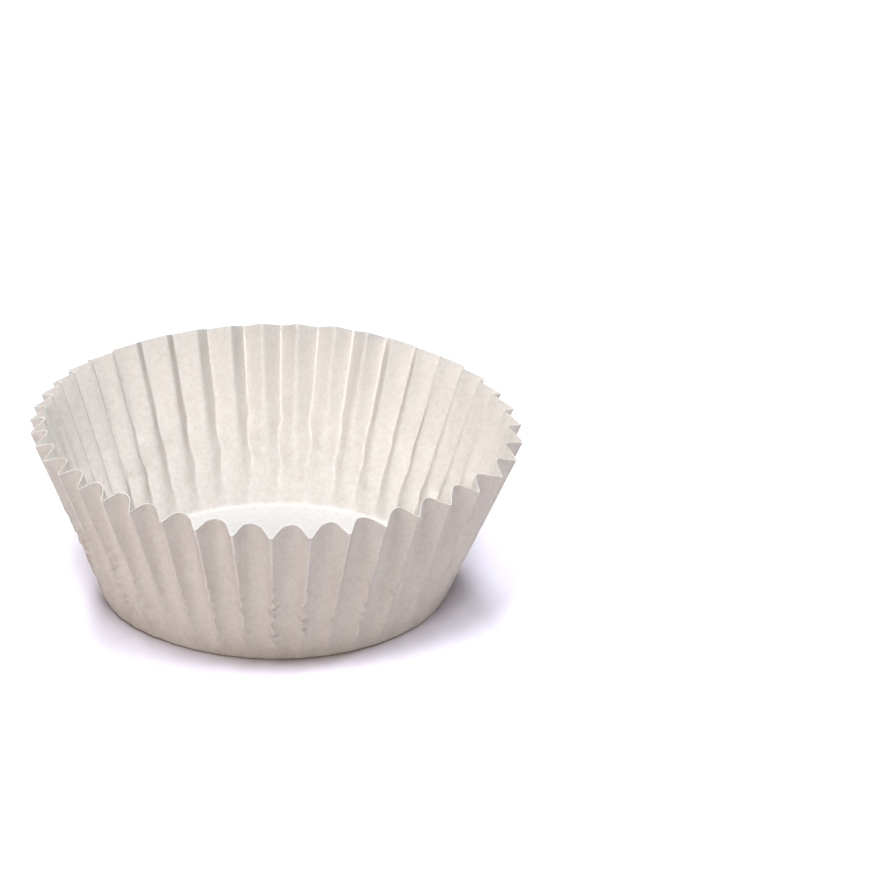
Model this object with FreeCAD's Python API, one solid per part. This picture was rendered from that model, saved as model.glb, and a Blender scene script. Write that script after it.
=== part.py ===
import FreeCAD, Part

import math
import os

# Cupcake liner: one disc of greaseproof paper, pressed into a flat base and a pleated, leaning wall.
# Millimetres, +Z up. The origin is the centre of the underside of the base, and the liner stands on it.
# A pleat is a narrow crease that points outward and, beside it, a groove that stands into the cup: two
# straight flanks that meet in a rounded crest. The creases run straight from the bend at the base up to
# the rim. The grooves start flat at the bend and deepen on the way up, where the wall has more paper
# than it needs to go round.
# All the paper is flat facets: a groove is made of narrow flat strips, and a strip keeps its slope from
# the level where it starts up to the rim, so that every facet between two levels is a true plane.

# Driving dimensions
base_diameter = 50.0             # across the base, where its plane meets the line of the creases
wall_slant = 27.0                # from that corner up a crease to the rim
wall_lean = 23.0                 # degrees that the creases lean outward from upright
pleat_count = 42                 # creases round the wall
groove_depth = 2.4               # at the rim, square to the wall
groove_rise = 1.3                # power of the height with which a groove deepens
crest_radius = 0.6               # of the rounded crest of a groove, on the paper's outside
paper_thickness = 0.08
bend_radius = 0.8                # outside of the bend between base and wall
crease_width = 0.3               # of the flat that a crease shows outside
strip_turn = 10.0                # degrees between one flat strip of a groove and the next
same_point = 1e-6                # corners of a facet nearer than this are one corner

# Levels of the wall at which its section is worked out, as shares of the way from bend to rim
levels = (0.0, 0.2, 0.45, 0.72, 1.0)
# Shares of the turn of the bend at which it is worked out
bend_steps = (0.0, 0.5, 1.0)

# Sizes that follow
lean = math.radians(wall_lean)
strip = math.radians(strip_turn)
half_pleat = math.pi / pleat_count
bend_turn = math.pi / 2.0 - lean
bend_reach = bend_radius * math.tan(bend_turn / 2.0)
flat_radius = base_diameter / 2.0 * math.cos(half_pleat) - bend_reach
strip_count = int(math.pi / 2.0 / strip)
crest_strip = 2.0 * crest_radius * math.tan(strip / 2.0)
axis = FreeCAD.Vector(0, 0, 1)
centre = FreeCAD.Vector(0, 0, 0)


def wall_frame(slant):
    """Distance from the axis, along the middle of a pleat, and height of the line between two creases."""
    reach = base_diameter / 2.0 + slant * math.sin(lean)
    return reach * math.cos(half_pleat), slant * math.cos(lean)


def placed(distance, height, row):
    """Points of a row, given as across and inset, set on the wall of the pleat that lies on the X axis.

    An inset is measured square to the wall, so it leads towards the axis and a little upward.
    """
    return [FreeCAD.Vector(distance - inset * math.cos(lean), across, height + inset * math.sin(lean))
            for across, inset in row]


def flank_widths(index, across, down):
    """Widths of two strips, number index and the next, that together lead so far across and down."""
    slope, next_slope = index * strip, (index + 1) * strip
    width = (across * math.sin(next_slope) - down * math.cos(next_slope)) / math.sin(strip)
    next_width = (down * math.cos(slope) - across * math.sin(slope)) / math.sin(strip)
    return width, next_width


def strip_widths(half_chord, depth):
    """Widths of the strips of half a groove, from half of the middle one out to the crease.

    The crest is made of strips that touch its radius, each turned by the same step. The flank reaches from
    there to the end of the chord, and is made of the two strips whose slopes are nearest to its own.
    """
    widths = []
    across, down = half_chord, depth
    for index in range(strip_count):
        full = crest_strip / 2.0 if index == 0 else crest_strip
        width, next_width = flank_widths(index, across, down)
        if width >= full:
            return widths + [width, next_width]
        widths.append(full)
        across -= full * math.cos(index * strip)
        down -= full * math.sin(index * strip)


def groove_row(half_chord, depth, side):
    """Half the section of a groove, from its middle strip out to the crease.

    side is 0 for the paper's outside and 1 for its inside, which lies a paper's thickness further in. There
    the row stops where the flank meets the inside of the crease. Strips that the groove has no room for at
    this level are left with no width there.
    """
    thickness = side * paper_thickness
    edge = thickness * math.tan(strip / 2.0)
    row = []
    point = (0.0, depth + thickness)
    widths = strip_widths(half_chord, depth)
    for index, width in enumerate(widths):
        width += edge if index == 0 else 2.0 * edge
        slope = index * strip
        corner = (point[0] + width * math.cos(slope), point[1] - width * math.sin(slope))
        if index > 0 and (corner[1] < thickness or index == len(widths) - 1):
            share = (point[1] - thickness) / (point[1] - corner[1])
            corner = (point[0] + share * (corner[0] - point[0]), thickness)
            return row + [corner] * (strip_count - index)
        row.append(corner)
        point = corner


def full_row(half_row):
    """A half section and its mirror image, from one crease across the groove to the next."""
    return [(-across, inset) for across, inset in reversed(half_row)] + half_row


def flat_row(half_chord, inset):
    """The section where the wall has no groove yet: its middle strip goes from crease to crease."""
    return full_row([(half_chord, inset)] * strip_count)


def rows_of_skin(side):
    """Rows of points up one face of the paper of one pleat, from the flat base to the rim."""
    thickness = side * paper_thickness
    rows = []
    for step in bend_steps:
        turn = step * bend_turn
        radius = bend_radius - thickness
        distance = flat_radius + radius * math.sin(turn)
        height = bend_radius - radius * math.cos(turn)
        outside = flat_radius + bend_radius * math.sin(turn)
        half_chord = outside * math.tan(half_pleat) - crease_width / 2.0
        rows.append(placed(distance, height, flat_row(half_chord, 0.0)))
    for share in levels[1:]:
        distance, height = wall_frame(bend_reach + share * (wall_slant - bend_reach))
        half_chord = distance * math.tan(half_pleat) - crease_width / 2.0
        half_row = groove_row(half_chord, groove_depth * share ** groove_rise, side)
        rows.append(placed(distance, height, full_row(half_row)))
    return rows


def turned(point, pleats):
    """A point of the first pleat carried round the axis by a number of pleats."""
    return FreeCAD.Rotation(axis, math.degrees(2.0 * half_pleat * pleats)).multVec(point)


def facet(points):
    """A flat face on its corners, less those that fall together."""
    corners = []
    for point in points:
        if all(point.distanceToPoint(other) > same_point for other in corners):
            corners.append(point)
    if len(corners) < 3:
        return []
    return [Part.Face(Part.makePolygon(corners + corners[:1]))]


def skin(rows):
    """The facets of one face of the paper of one pleat, with the crease to the next pleat."""
    faces = []
    for low, high in zip(rows, rows[1:]):
        for index in range(len(low) - 1):
            faces += facet([low[index], low[index + 1], high[index + 1], high[index]])
        faces += facet([low[-1], turned(low[0], 1), turned(high[0], 1), high[-1]])
    return faces


def liner():
    """The whole liner: one pleat repeated round the axis, closed by the two faces of the base."""
    outside = rows_of_skin(0)
    inside = rows_of_skin(1)
    pleat = skin(outside) + skin(inside)
    pleat += facet(outside[-1] + inside[-1][::-1])
    pleat += facet([outside[-1][-1], turned(outside[-1][0], 1), turned(inside[-1][0], 1), inside[-1][-1]])
    faces = []
    for rows in (outside, inside):
        outline = []
        for index in range(pleat_count):
            outline += [turned(rows[0][0], index), turned(rows[0][-1], index)]
        faces += facet(outline)
    for index in range(pleat_count):
        for face in pleat:
            copy = face.copy()
            copy.rotate(centre, axis, math.degrees(2.0 * half_pleat * index))
            faces.append(copy)
    shell = Part.makeCompound(faces)
    shell.sewShape()
    solid = Part.makeSolid(shell.Shells[0])
    if solid.Volume < 0.0:
        solid.reverse()
    return solid


os.makedirs("parts", exist_ok=True)
part = liner()
part.exportStep("parts/liner.step")
box = part.BoundBox
print("liner valid:", part.isValid(), "faces:", len(part.Faces), "volume in mm3:", round(part.Volume, 2))
print("across:", round(box.XLength, 2), round(box.YLength, 2), "high:", round(box.ZLength, 2))
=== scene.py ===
# %% [markdown]
# The cupcake liner in Blender.
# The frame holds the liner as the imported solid, all in flat strips. This script keeps its sizes and place
# and gives the same sheet of paper the uneven pleats, rounded crests and crumpled creases of a real one.

# %% The frame
import math

import bpy
import numpy as np
from mathutils import Matrix, Vector


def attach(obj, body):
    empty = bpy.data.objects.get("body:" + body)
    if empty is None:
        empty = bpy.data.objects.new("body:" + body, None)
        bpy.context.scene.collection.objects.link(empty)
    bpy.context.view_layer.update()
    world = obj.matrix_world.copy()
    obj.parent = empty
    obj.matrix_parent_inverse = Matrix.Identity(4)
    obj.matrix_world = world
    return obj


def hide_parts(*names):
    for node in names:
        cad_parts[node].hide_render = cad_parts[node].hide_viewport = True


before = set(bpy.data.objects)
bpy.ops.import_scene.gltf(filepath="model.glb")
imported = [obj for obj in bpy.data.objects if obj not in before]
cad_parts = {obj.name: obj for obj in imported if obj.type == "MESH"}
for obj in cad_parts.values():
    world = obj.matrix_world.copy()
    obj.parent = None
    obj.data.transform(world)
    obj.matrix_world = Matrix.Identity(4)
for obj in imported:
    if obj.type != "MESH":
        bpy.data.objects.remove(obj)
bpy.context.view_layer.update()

# %% [markdown]
# The real liner starts as one disc of greaseproof paper. A fluted die folds its outer ring up into the
# wall, and the paper that is too much for the wall's girth goes into pleats. The sizes below are the
# liner's own, in metres. They are the ones that the solid in the frame was built with, but for the power
# with which the grooves deepen: on the real liner they are already deep low on the wall, so it is lower
# here.

# %% Sizes of the liner
mm = 0.001
base_radius = 25.0 * mm
wall_slant = 27.0 * mm
wall_lean = math.radians(23.0)
pleat_count = 42
groove_depth = 2.4 * mm
groove_rise = 0.75
crease_width = 0.3 * mm
paper = 0.08 * mm
bend_radius = 0.8 * mm

bend_turn = math.pi / 2.0 - wall_lean
bend_reach = bend_radius * math.tan(bend_turn / 2.0)
rim_radius = base_radius + wall_slant * math.sin(wall_lean)
rim_height = wall_slant * math.cos(wall_lean)
print("rim in mm:", round(2000 * rim_radius, 2), "across, at a height of", round(1000 * rim_height, 2))

# %% [markdown]
# A pressed pleat is never as wide as the next one. Three slow waves round the rim crowd the pleats on one
# side and spread them on the other, which is how this liner's creases lie. Random widths would jump from
# pleat to pleat, and these drift.

# %% Where the creases go
full_turn = 2.0 * math.pi
first_crease = math.radians(70.8)
# Each wave: how often it goes round, how far it moves a crease and where it starts, in degrees
crease_waves = ((1, 5.4, 14.0), (2, 1.6, 113.0), (3, 1.3, 55.0))


def crease_angles():
    """Angle of every crease: even steps plus waves, each its height times sin(times x angle + start)."""
    even = first_crease + full_turn / pleat_count * np.arange(pleat_count)
    angles = even.copy()
    for times, height, start in crease_waves:
        angles += math.radians(height) * np.sin(times * even + math.radians(start))
    return angles


angles = crease_angles()
steps = np.degrees(np.diff(np.append(angles, angles[0] + full_turn)))
print("pleats from", round(steps.min(), 1), "to", round(steps.max(), 1), "degrees wide")

# %% [markdown]
# The paper could be folded by a cloth simulation, but formulas put every crease where it should be, the
# same each time. The surface is a grid. Its rows go from the middle of the base out to the bend, round
# the bend and up the wall to the rim. Its columns go round, with the same number of columns in every
# pleat. Rows lie closer in the lower wall, where the creases are crumpled, and columns lie closer beside
# creases and crests.

# %% Rows of the grid
base_rings = 2
bend_rows = 3
low_rows = 48
high_rows = 8
# Share of the wall that has the closer rows
low_part = 0.62


def row_profile():
    """Distance from the axis, height, share of the wall and turn of the paper for each row.

    On the base the distance grows with the square root of the ring's number, at no height. On the bend both
    follow an arc of the bend's radius. On the wall both grow evenly with the slant.
    """
    flat = base_radius - bend_reach
    ring = np.linspace(0.0, 1.0, base_rings + 1)[1:] ** 0.5
    turn = np.linspace(0.0, bend_turn, bend_rows + 1)[1:]
    share = np.concatenate([np.linspace(0.0, low_part, low_rows + 1)[1:],
                            np.linspace(low_part, 1.0, high_rows + 1)[1:]])
    slant = bend_reach + share * (wall_slant - bend_reach)
    distance = np.concatenate([flat * ring, flat + bend_radius * np.sin(turn),
                               base_radius + slant * math.sin(wall_lean)])
    height = np.concatenate([0.0 * ring, bend_radius * (1.0 - np.cos(turn)), slant * math.cos(wall_lean)])
    wall = np.concatenate([0.0 * ring, 0.0 * turn, share])
    turned = np.concatenate([0.0 * ring, turn, 0.0 * share + bend_turn])
    return distance, height, wall, turned


distance, height, wall, turned = row_profile()
print("rows:", len(distance))

# %% Columns of one pleat
columns = 19
crowding = 0.45


def column_places():
    """Places across a pleat from -1 at one crease over 0 at the crest to 1 at the next crease.

    They are crowded towards all three: place = even - crowding x sin(2 pi even) / (2 pi).
    """
    even = np.linspace(-1.0, 1.0, columns)
    return even - crowding * np.sin(full_turn * even) / full_turn


places = column_places()
print("columns round the liner:", pleat_count * columns)

# %% [markdown]
# Every array of the surface has three axes: rows, pleats and the columns of one pleat. A pleat lies on the
# chord between two creases, at its middle angle, and its crease is a narrow flat. An array modifier could
# repeat one pleat round the axis, but no two of these are alike.

# %% The grid of the pleats
following = np.append(angles[1:], angles[0] + full_turn)
middle = ((angles + following) / 2.0)[None, :, None]
half_angle = ((following - angles) / 2.0)[None, :, None]
place = places[None, None, :]
radius = distance[:, None, None]
high = wall[:, None, None]
lean = turned[:, None, None]
half_chord = radius * np.sin(half_angle) - crease_width / 2.0 * np.minimum(1.0, radius / base_radius)
print("pleats at the rim are", np.round(2000 * half_chord[-1].min(), 2), "mm wide or more")

# %% [markdown]
# Nothing about thin paper is quite regular. All chance here comes from one seeded generator, so that the
# liner comes out the same each time. Hands leave their marks in places, so two helpers say how much of a
# mark there is at a height and at an angle round the liner. A displacement texture could dent the paper
# too, but formulas give both of its faces the same dents.

# %% Chance and places
chance = np.random.default_rng(12)
# Shortest and longest wave of a ripple, as shares of its length
wave_range = (0.7, 1.4)


def ripples(x, y, length, count=14):
    """Smooth random relief, mostly from -1 to 1: many sine waves of about one length in all directions."""
    total = np.zeros(np.broadcast(x, y).shape)
    for _ in range(count):
        direction = chance.uniform(0.0, full_turn)
        number = full_turn / (length * chance.uniform(*wave_range))
        start = chance.uniform(0.0, full_turn)
        total += np.sin(number * (x * math.cos(direction) + y * math.sin(direction)) + start)
    return total / math.sqrt(2.0 * count)


def smooth_step(low, high, value):
    """0 below low, 1 above high, and 3 t^2 - 2 t^3 between."""
    share = np.clip((value - low) / (high - low), 0.0, 1.0)
    return share * share * (3.0 - 2.0 * share)


def near(around, centre, reach):
    """e^-(distance / reach)^2, with the distance round the liner from an angle to a centre, in degrees."""
    distance_round = (np.degrees(around) - centre + 180.0) % 360.0 - 180.0
    return np.exp(-(distance_round / reach) ** 2)


# %% [markdown]
# In the lower wall there is little paper to spare, and the die crushed it. In front each crease runs in a
# chain of small scallops, about two millimetres long, and the paper is nicked where one meets the next. At
# the back the creases only sway. Each could be sculpted by hand, but a sine wave with some chance in its
# length and start does all 42 at once.

# %% The course of the creases
scallop = 0.7 * mm
scallop_length = chance.uniform(1.9, 2.9, pleat_count) * mm
scallop_start = chance.uniform(0.0, math.pi, pleat_count)
scallop_force = chance.uniform(0.55, 1.2, pleat_count)
# How far and how fast the scallops' length wavers
waver, waver_rate = 0.9, 0.61
# How far a crease sways, as a share of a scallop, and how fast
sway, sway_rate = 0.4, 0.55
# Taken off the bulge of a scallop, so that a crease keeps its place on the whole
mean_bulge = 0.64
# Shares of the wall between which the crumples begin, and between which they end
crumples_begin = (0.03, 0.12)
crumples_end = (0.42, 0.7)
# Where the creases were crushed most: angle round the liner, and reach to each side
crushed = (240.0, 75.0)

slants = wall * wall_slant
crumpled = smooth_step(*crumples_begin, wall) * (1.0 - smooth_step(*crumples_end, wall))
scallop_turn = math.pi * slants[:, None] / scallop_length + scallop_start
scallop_turn += waver * np.sin(waver_rate * scallop_turn + 2.0 * scallop_start)
bulge = np.abs(np.sin(scallop_turn))
wave = sway * np.cos(sway_rate * scallop_turn + scallop_start)
crush = near(angles, *crushed)
crease_shift = scallop * crumpled[:, None] * scallop_force * (wave + crush * (bulge - mean_bulge - wave))
print("creases wander up to", round(1000 * np.abs(crease_shift).max(), 2), "mm")

# %% Nicks in the creases
nick = 0.22 * mm
nick_width = 0.6 * mm
nick_sharpness = 1.5
crease_nick = nick * crumpled[:, None] * scallop_force * crush * (1.0 - bulge) ** nick_sharpness
print("nicks are up to", round(1000 * crease_nick.max(), 2), "mm deep")

# %% [markdown]
# Each groove has two straight flanks that meet in a rounded crest, as in the solid. Crests are sharp where
# nobody touched the liner, and round where it was picked up. Low on the wall the grooves are soft pillows.
# A sine wave round the wall would be simpler, but the flanks of pressed paper are flat.

# %% The section of a groove
# The largest radius of a crest, as a share of twice that of the one arc from crease to crease
widest_crest = 0.45


def groove_section(place, half_chord, depth, crest):
    """How far across and how far in from the chord the paper of a groove lies, at places from -1 to 1.

    Half the groove is an arc of the crest's radius that turns from 0 to the slope of the flank, and the
    flank itself. Both must end at half the chord and span the depth, which gives
    slope = asin(crest / R) + atan2(depth - crest, half_chord), with R^2 = half_chord^2 + (depth - crest)^2.
    The place is the share of the length along that line.
    """
    crest = np.minimum(crest, widest_crest * (half_chord ** 2 + depth ** 2) / depth)
    spread = np.hypot(half_chord, depth - crest)
    slope = np.arcsin(crest / spread) + np.arctan2(depth - crest, half_chord)
    arc = crest * slope
    flank = (half_chord - crest * np.sin(slope)) / np.cos(slope)
    along = np.abs(place) * (arc + flank)
    on_arc = np.minimum(along, arc) / crest
    on_flank = np.maximum(along - arc, 0.0)
    across = crest * np.sin(on_arc) + on_flank * np.cos(slope)
    inset = depth - crest * (1.0 - np.cos(on_arc)) - on_flank * np.sin(slope)
    return np.sign(place) * across, inset


# %% Grooves
depth_of_pleat = groove_depth * chance.uniform(0.94, 1.06, pleat_count)
skew_of_pleat = chance.uniform(-0.16, 0.16, pleat_count)
least_depth = 1e-3 * mm
sharp_crest = 0.25 * mm
low_crest = 3.0 * mm
# Where the crests were rounded in the hand: angle round the liner, reach to each side, and added radius
handled = (262.0, 90.0, 1.6 * mm)

depth = np.maximum(depth_of_pleat[None, :, None] * high ** groove_rise, least_depth)
rounded = sharp_crest + handled[2] * near(middle, *handled[:2])
crest = rounded + (low_crest - rounded) * (1.0 - high) ** 2
across, inset = groove_section(place, half_chord, depth, crest)
skew = skew_of_pleat[None, :, None] * high * (inset / depth)
across = across + skew * half_chord * (1.0 - (across / half_chord) ** 2)
print("grooves at the rim are", np.round(1000 * depth[-1].min(), 2), "mm deep or more")

# %% [markdown]
# The die cuts the rim level, but the paper springs back: each crest stands a little higher than its
# creases, most at the back, and each pleat ends at its own height.

# %% The rim
rim_lift = 0.15 * mm
rim_uneven = 0.12 * mm
# Power of the height with which the paper's lift grows, so that only the wall's top has it
lift_rise = 6
# Where the crests stand higher at the rim: angle round the liner, reach to each side, and how much
raised = (85.0, 60.0, 0.2 * mm)
rim_of_pleat = rim_uneven * chance.uniform(-1.0, 1.0, pleat_count)

crest_lift = rim_lift + raised[2] * near(middle, *raised[:2])
lift = high ** lift_rise * (crest_lift * inset / depth + rim_of_pleat[None, :, None])
print("crests stand up to", round(1000 * lift.max(), 2), "mm higher")

# %% [markdown]
# Now the crumples go onto the grooves. A nick lies beside its crease, deeper on one side, and fine dents
# cover the lower wall, most of them at the left. The crease's own shift fades out towards the crest.

# %% Crumples on the grooves
# Distance of a nick's middle from its crease, as a share of its width, and the depth on its shallow side
nick_offset = 0.3
shallow_side = 0.5
dimple = 0.06 * mm
dimple_length = 3.5 * mm
# Where the lower wall is dented all over: angle round the liner, reach to each side, and how much deeper
dented = (212.0, 30.0, 2.5)
# Power with which the shift of a crease fades towards the crest
shift_fade = 3


def beside_crease(gap):
    """e^-((gap - offset) / width)^2, where gap is the distance from a crease along the chord."""
    return np.exp(-((gap - nick_offset * nick_width) / nick_width) ** 2)


next_nick = np.roll(crease_nick, -1, axis=1)[:, :, None]
next_shift = np.roll(crease_shift, -1, axis=1)[:, :, None]
inset = (inset + beside_crease(half_chord + across) * crease_nick[:, :, None]
         + shallow_side * beside_crease(half_chord - across) * next_nick)
dents = dimple * (1.0 + dented[2] * near(middle, *dented[:2])) * crumpled[:, None, None]
inset = inset + dents * ripples(middle * base_radius + across, slants[:, None, None], dimple_length)
across = across + ((1.0 - place) / 2.0) ** shift_fade * crease_shift[:, :, None]
across = across + ((1.0 + place) / 2.0) ** shift_fade * next_shift
print("dents are up to", round(1000 * dents.max(), 2), "mm deep")

# %% [markdown]
# Last, the pleats are set round the axis. The wall is pushed in and out of round, and the rim slopes,
# because paper this thin is limp.

# %% The outside of the paper
# Where the wall was pushed out or in: angle round the liner, reach to each side, and how far at the rim
pushes = ((272.0, 26.0, 1.2 * mm), (312.0, 20.0, -1.0 * mm),
          (72.0, 22.0, 0.7 * mm), (122.0, 26.0, -0.5 * mm))
push_rise = 1.5
# The same for a push at the foot of the wall, and the power with which it fades towards the middle
low_push = (207.0, 20.0, 0.6 * mm)
low_push_fade = 6
# Slope of the rim along X and along Y
rim_slope = (-0.0245, -0.0029)


def outside_skin():
    """Points of the paper's outside, rows by columns.

    Insets lead square to the paper, which is inward on the wall and upward on the base, and lifts lead
    along it. x = out cos(middle) - across sin(middle), y = out sin(middle) + across cos(middle).
    """
    out = radius * np.cos(half_angle) - inset * np.sin(lean) + lift * np.cos(lean)
    low = (1.0 - high) ** 2 * np.minimum(1.0, radius / base_radius) ** low_push_fade
    out = out + low_push[2] * low * near(middle, *low_push[:2])
    for centre, reach, amount in pushes:
        out = out + amount * high ** push_rise * near(middle + across / radius, centre, reach)
    up = height[:, None, None] + inset * np.cos(lean) + lift * np.sin(lean)
    x = out * np.cos(middle) - across * np.sin(middle)
    y = out * np.sin(middle) + across * np.cos(middle)
    z = up + high * (rim_slope[0] * x + rim_slope[1] * y)
    points = np.stack([x, y, z], axis=-1)
    return points.reshape(len(distance), pleat_count * columns, 3)


outside = outside_skin()
print("outside skin in mm:", np.round(1000 * (outside.max((0, 1)) - outside.min((0, 1))), 2))

# %% [markdown]
# The sheet has two faces and a cut edge. The inner face is the outer one moved by the paper's thickness,
# square to the strips on both sides of each corner, so the pinched creases keep their thickness too. A
# solidify modifier would do much the same, but here the shift is held back where the fold is sharpest.

# %% The inside of the paper
# Keeps a corner near its place where the paper is folded almost back on itself
least_spread = 0.3


def unit(vectors):
    """Each vector divided by its length."""
    return vectors / np.linalg.norm(vectors, axis=-1, keepdims=True)


def moved_inward(points, thickness):
    """Every point moved by thickness square to the paper.

    The normal of a strip is its direction up times its direction across. A corner moves along the sum of
    the normals of its two strips, divided by one plus their product, so both strips move equally far.
    """
    across = np.roll(points, -1, axis=1) - points
    upward = np.gradient(points, axis=0)
    normal = unit(np.cross(upward, across))
    before = unit(np.cross(upward, np.roll(across, 1, axis=1)))
    product = np.sum(normal * before, axis=-1, keepdims=True)
    return points + thickness * (normal + before) / np.maximum(1.0 + product, least_spread)


inside = moved_inward(outside, paper)
print("inside skin in mm:", np.round(1000 * (inside.max((0, 1)) - inside.min((0, 1))), 2))

# %% [markdown]
# Both faces and the cut edge become one closed mesh. Paper is smooth up to a fold and breaks there, so
# the edges along the creases are marked sharp, and so is every edge where the sheet turns by more than
# 50 degrees.

# %% The mesh of the sheet
sharp_turn = math.radians(50.0)


def sheet_mesh(name, outer, inner):
    """A closed mesh: up the outer skin, over the cut edge and down the inner one, a pole at each end."""
    rows, around = outer.shape[:2]
    rings = np.concatenate([outer, inner[::-1]])
    poles = [[0.0, 0.0, 0.0], [0.0, 0.0, paper]]
    points = np.concatenate([rings.reshape(-1, 3), poles])
    corner = np.arange(2 * rows * around).reshape(2 * rows, around)
    beside = np.roll(corner, -1, axis=1)
    quads = np.stack([corner[:-1], beside[:-1], beside[1:], corner[1:]], axis=-1).reshape(-1, 4)
    low_pole, high_pole = 2 * rows * around, 2 * rows * around + 1
    low_fan = np.stack([np.full(around, low_pole), beside[0], corner[0]], axis=-1)
    high_fan = np.stack([np.full(around, high_pole), corner[-1], beside[-1]], axis=-1)
    mesh = bpy.data.meshes.new(name)
    mesh.from_pydata(points.tolist(), [], quads.tolist() + low_fan.tolist() + high_fan.tolist())
    mesh.update()
    return mesh


# %% Sharp creases
def fold_creases(mesh, around):
    """Marks as sharp every edge that runs up a crease: both its corners are in the first or last column."""
    ends = np.empty(2 * len(mesh.edges), dtype=int)
    mesh.edges.foreach_get("vertices", ends)
    ends = ends.reshape(-1, 2)
    upward = (ends[:, 0] % around == ends[:, 1] % around) & (ends.max(axis=1) < len(mesh.vertices) - 2)
    column = ends[:, 0] % around % columns
    folded = upward & ((column == 0) | (column == columns - 1))
    sharp = mesh.attributes["sharp_edge"].data
    marks = np.empty(len(mesh.edges), dtype=bool)
    sharp.foreach_get("value", marks)
    sharp.foreach_set("value", marks | folded)


# %% The mesh of the liner
liner_mesh = sheet_mesh("pleated_liner", outside, inside)
liner_mesh.polygons.foreach_set("use_smooth", [True] * len(liner_mesh.polygons))
liner_mesh.set_sharp_from_angle(angle=sharp_turn)
fold_creases(liner_mesh, outside.shape[1])
print("triangles:", sum(len(face.vertices) - 2 for face in liner_mesh.polygons))

# %% The liner in the scene
liner = bpy.data.objects.new("pleated_liner", liner_mesh)
bpy.context.collection.objects.link(liner)
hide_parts("liner")
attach(liner, "root")
print("corners of the liner:", len(liner_mesh.vertices))

# %% [markdown]
# Greaseproof paper is matt and warm white, its pulp is a little cloudy, and a good part of the light goes
# through it. A shader mixes plain reflection with light that comes through from the other side, in the same
# two colours of pulp. Scattering under the surface would be another way, but it blurs so thin a sheet.

# %% Paper
let_through = 0.36
paper_roughness = 0.62
paper_gloss = 0.25
# Clouds in the pulp: how many to a metre, how ragged, and two colours with their places in the noise
cloud_scale = 1500.0
cloud_detail = 5.0
cloud_roughness = 0.7
thin_pulp, thin_place = (0.782, 0.737, 0.678, 1.0), 0.3
thick_pulp, thick_place = (0.836, 0.797, 0.744, 1.0), 0.6
fibre_scale = 3500.0
fibre_detail = 3.0
fibre_height = 0.03 * mm
fibre_strength = 0.15


def link(tree, source, output, target, socket):
    """Joins an output of one node to an input of another."""
    tree.links.new(source.outputs[output], target.inputs[socket])


def noise(tree, scale, detail):
    """A noise texture in the liner's own coordinates."""
    coordinates = tree.nodes.new("ShaderNodeTexCoord")
    texture = tree.nodes.new("ShaderNodeTexNoise")
    texture.inputs["Scale"].default_value = scale
    texture.inputs["Detail"].default_value = detail
    link(tree, coordinates, "Object", texture, "Vector")
    return texture


def pulp_colour(tree):
    """Cloudy pulp: two colours mixed by noise."""
    cloud = noise(tree, cloud_scale, cloud_detail)
    cloud.inputs["Roughness"].default_value = cloud_roughness
    colours = tree.nodes.new("ShaderNodeValToRGB")
    thin, thick = colours.color_ramp.elements
    thin.position, thin.color = thin_place, thin_pulp
    thick.position, thick.color = thick_place, thick_pulp
    link(tree, cloud, "Fac", colours, "Fac")
    return colours


def paper_material():
    """Reflection and light from the other side, mixed in one share all over, with a bump of fine fibres."""
    material = bpy.data.materials.new("greaseproof_paper")
    material.use_nodes = True
    tree = material.node_tree
    shader = tree.nodes["Principled BSDF"]
    shader.inputs["Roughness"].default_value = paper_roughness
    shader.inputs["Specular IOR Level"].default_value = paper_gloss
    through = tree.nodes.new("ShaderNodeBsdfTranslucent")
    both = tree.nodes.new("ShaderNodeMixShader")
    both.inputs["Fac"].default_value = let_through
    bump = tree.nodes.new("ShaderNodeBump")
    bump.inputs["Strength"].default_value = fibre_strength
    bump.inputs["Distance"].default_value = fibre_height
    pulp = pulp_colour(tree)
    link(tree, pulp, "Color", shader, "Base Color")
    link(tree, pulp, "Color", through, "Color")
    link(tree, noise(tree, fibre_scale, fibre_detail), "Fac", bump, "Height")
    link(tree, bump, "Normal", shader, "Normal")
    link(tree, shader, "BSDF", both, 1)
    link(tree, through, "BSDF", both, 2)
    link(tree, both, "Shader", tree.nodes["Material Output"], "Surface")
    return material


liner_mesh.materials.append(paper_material())
print("paper lets through", round(100 * let_through), "percent of the light at each face")

# %% [markdown]
# The liner stands on a plain floor. It is a little darker than white and quite matt, and the lamps are
# bright enough to make it white in the picture, except in the shade.

# %% Floor
half_floor = 3.0
floor_colour = (0.75, 0.70, 0.705, 1.0)
floor_corners = [(-half_floor, -half_floor, 0.0), (half_floor, -half_floor, 0.0),
                 (half_floor, half_floor, 0.0), (-half_floor, half_floor, 0.0)]
floor_mesh = bpy.data.meshes.new("floor")
floor_mesh.from_pydata(floor_corners, [], [(0, 1, 2, 3)])
floor = bpy.data.objects.new("floor", floor_mesh)
bpy.context.collection.objects.link(floor)
floor_finish = bpy.data.materials.new("white_floor")
floor_finish.use_nodes = True
floor_shader = floor_finish.node_tree.nodes["Principled BSDF"]
floor_shader.inputs["Base Color"].default_value = floor_colour
floor_shader.inputs["Roughness"].default_value = 1.0
floor_shader.inputs["Specular IOR Level"].default_value = 0.0
floor_mesh.materials.append(floor_finish)
print("floor in m:", 2.0 * half_floor)

# %% [markdown]
# Two soft lights behind the liner shine through its far wall and throw the shade forward. Two more hang
# high in front. Two weak and warm ones, low on the left, draw the grooves of the near wall, and a small
# one on the right gives the creases of the far wall their bright edges. The picture's gamma is below 1:
# white stays white, and the middle tones get deeper, so that shade shows in white paper.

# %% Light
lamp_distance = 1.0
cool = (0.935, 1.01, 1.125)
warm = (1.12, 1.0, 0.84)


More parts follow.
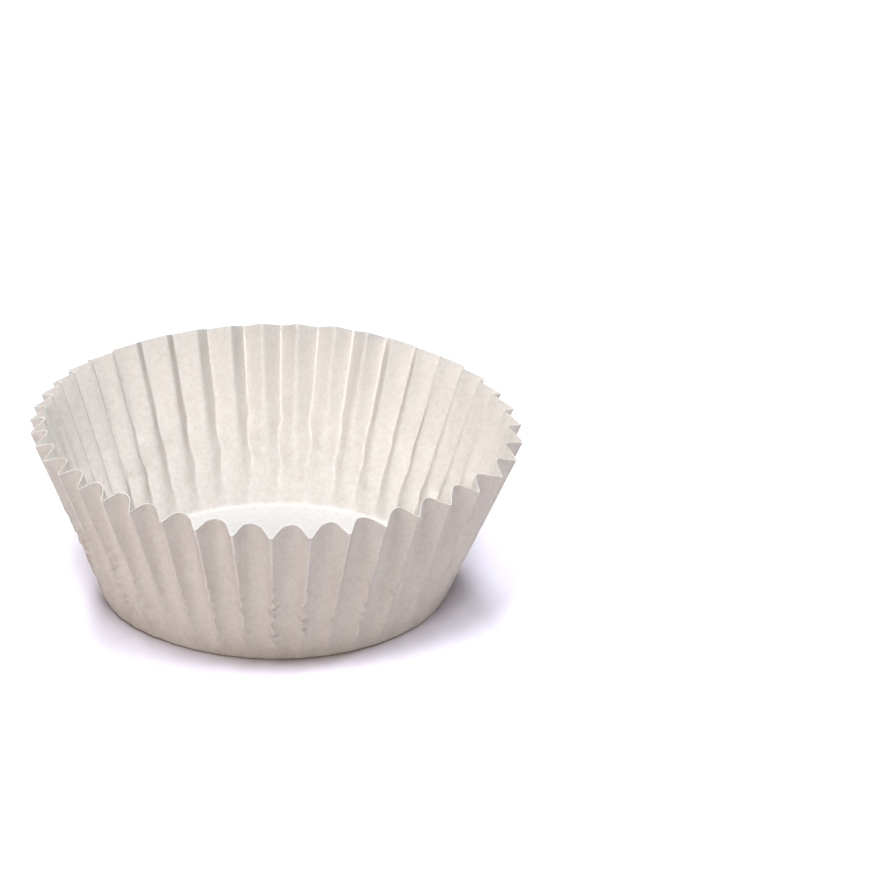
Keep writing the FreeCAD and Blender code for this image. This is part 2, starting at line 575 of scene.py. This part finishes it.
def soft_light(name, around, above, size, power, colour):
    """A square lamp that faces the liner.

    It stands so many degrees round the liner and above the floor. Its size is in metres, and its power
    is in watts.
    """
    lamp = bpy.data.lights.new(name, "AREA")
    lamp.size = size
    lamp.energy = power
    lamp.color = colour
    turn, rise = math.radians(around), math.radians(above)
    towards = Vector((math.cos(turn) * math.cos(rise), math.sin(turn) * math.cos(rise), math.sin(rise)))
    holder = bpy.data.objects.new(name, lamp)
    holder.location = lamp_distance * towards
    holder.rotation_euler = towards.to_track_quat("Z", "Y").to_euler()
    bpy.context.collection.objects.link(holder)


soft_light("back", 101.0, 35.0, 0.3, 8.5, cool)
soft_light("back_left", 130.0, 24.0, 0.3, 2.2, cool)
soft_light("right", 28.0, 24.0, 0.06, 2.2, cool)
soft_light("front_left", 240.0, 68.0, 0.3, 8.2, cool)
soft_light("front_right", 312.0, 69.0, 0.3, 5.8, cool)
soft_light("low_front", 238.0, 24.0, 0.3, 1.3, warm)
soft_light("low_left", 205.0, 20.0, 0.1, 0.4, warm)
print("lamps:", len(bpy.data.lights))

# %% Sky and tones of the picture
sky_colour = (0.9, 0.93, 1.0, 1.0)
sky_strength = 0.02
picture_gamma = 0.65
world = bpy.data.worlds.new("studio")
world.use_nodes = True
world.node_tree.nodes["Background"].inputs["Color"].default_value = sky_colour
world.node_tree.nodes["Background"].inputs["Strength"].default_value = sky_strength
bpy.context.scene.world = world
bpy.context.scene.view_settings.view_transform = "Standard"
bpy.context.scene.view_settings.gamma = picture_gamma
print("gamma of the picture:", picture_gamma)

# %% [markdown]
# The camera stands well back with a long lens, so the rim and the base keep nearly the same scale. Its
# tilt, aim and lens were fitted to the outline of the base and to the tips of the creases at the rim.

# %% Camera
camera_distance = 800.0 * mm
camera_down = math.radians(25.285)
camera_roll = math.radians(0.85)
aim_right = 23.102 * mm
aim_up = 21.252 * mm
focal_pixels = 5481.3
picture_pixels = 870.0
sensor = 36.0
sight_limit = 20.0

level = Vector((1.0, 0.0, 0.0))
ahead = Vector((0.0, math.cos(camera_down), -math.sin(camera_down)))
upward = level.cross(ahead)
right = math.cos(camera_roll) * level + math.sin(camera_roll) * upward
top = math.cos(camera_roll) * upward - math.sin(camera_roll) * level
camera = bpy.data.objects.new("camera", bpy.data.cameras.new("camera"))
camera.data.sensor_width = sensor
camera.data.lens = sensor * focal_pixels / picture_pixels
camera.data.clip_end = sight_limit
standpoint = aim_right * right + aim_up * top - camera_distance * ahead
camera.matrix_world = Matrix.Translation(standpoint) @ Matrix((right, top, -ahead)).transposed().to_4x4()
bpy.context.collection.objects.link(camera)
bpy.context.scene.camera = camera
print("lens in mm:", round(camera.data.lens, 1))
